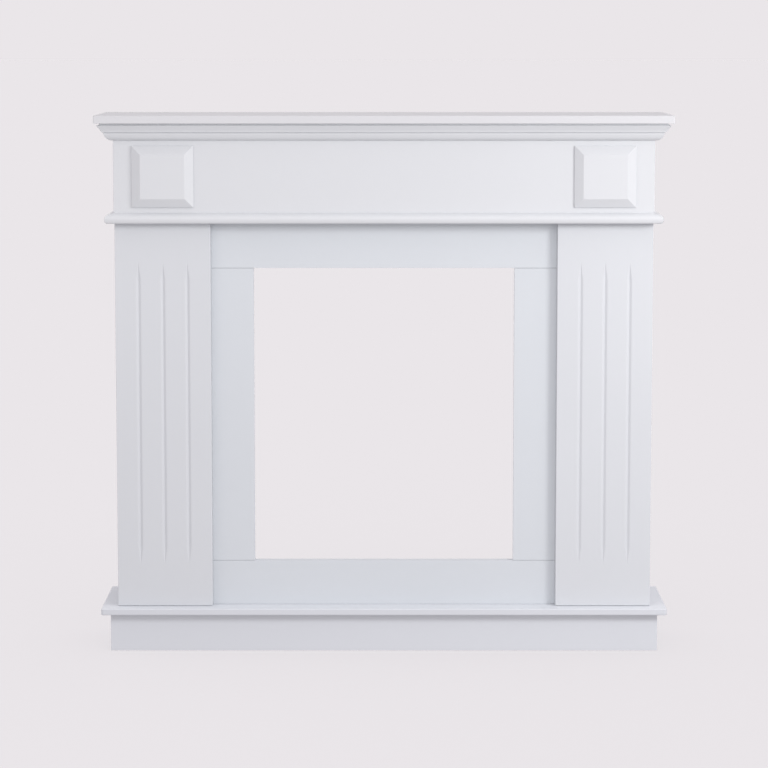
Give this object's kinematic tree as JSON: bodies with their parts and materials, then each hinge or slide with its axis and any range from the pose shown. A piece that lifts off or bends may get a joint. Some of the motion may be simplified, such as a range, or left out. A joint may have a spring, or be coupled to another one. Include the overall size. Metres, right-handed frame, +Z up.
{
  "type": "fireplace mantelpiece",
  "caption": "Freestanding painted fireplace surround: shelf on a stepped cornice, frieze with raised square blocks, grooved pilasters, recessed frame and hearth board on a plinth.",
  "frame": {"origin": "middle of the footprint on the floor, midway between the shelf's ends and between its front and back edges", "axes": "+Z up, +X along the mantel shelf towards the viewer's right when facing the front, -Y out of the front"},
  "size_m": [1.095, 0.24, 1.032],
  "materials": {
    "painted_shelf": "satin white paint on fibreboard",
    "painted_moulding": "satin white paint on fibreboard",
    "painted_header": "satin white paint on fibreboard",
    "painted_pilaster": "satin white paint on fibreboard",
    "painted_frame": "satin white paint on fibreboard",
    "painted_base": "satin white paint on fibreboard"
  },
  "bodies": {
    "root": {"mantel_shelf": "painted_shelf", "cornice_front": "painted_moulding", "cornice_left": "painted_moulding", "cornice_right": "painted_moulding", "frieze_board": "painted_header", "header_end_left": "painted_header", "header_end_right": "painted_header", "header_bottom": "painted_header", "corner_block_left": "painted_header", "corner_block_right": "painted_header", "architrave_front": "painted_moulding", "architrave_left": "painted_moulding", "architrave_right": "painted_moulding", "pilaster_panel_left": "painted_pilaster", "pilaster_panel_right": "painted_pilaster", "pilaster_outer_side_left": "painted_pilaster", "pilaster_outer_side_right": "painted_pilaster", "pilaster_inner_side_left": "painted_pilaster", "pilaster_inner_side_right": "painted_pilaster", "frame_top_rail": "painted_frame", "frame_bottom_rail": "painted_frame", "frame_stile_left": "painted_frame", "frame_stile_right": "painted_frame", "hearth_board": "painted_base", "plinth_front": "painted_base", "plinth_side_left": "painted_base", "plinth_side_right": "painted_base", "plinth_back": "painted_base"}
  },
  "joints": []
}
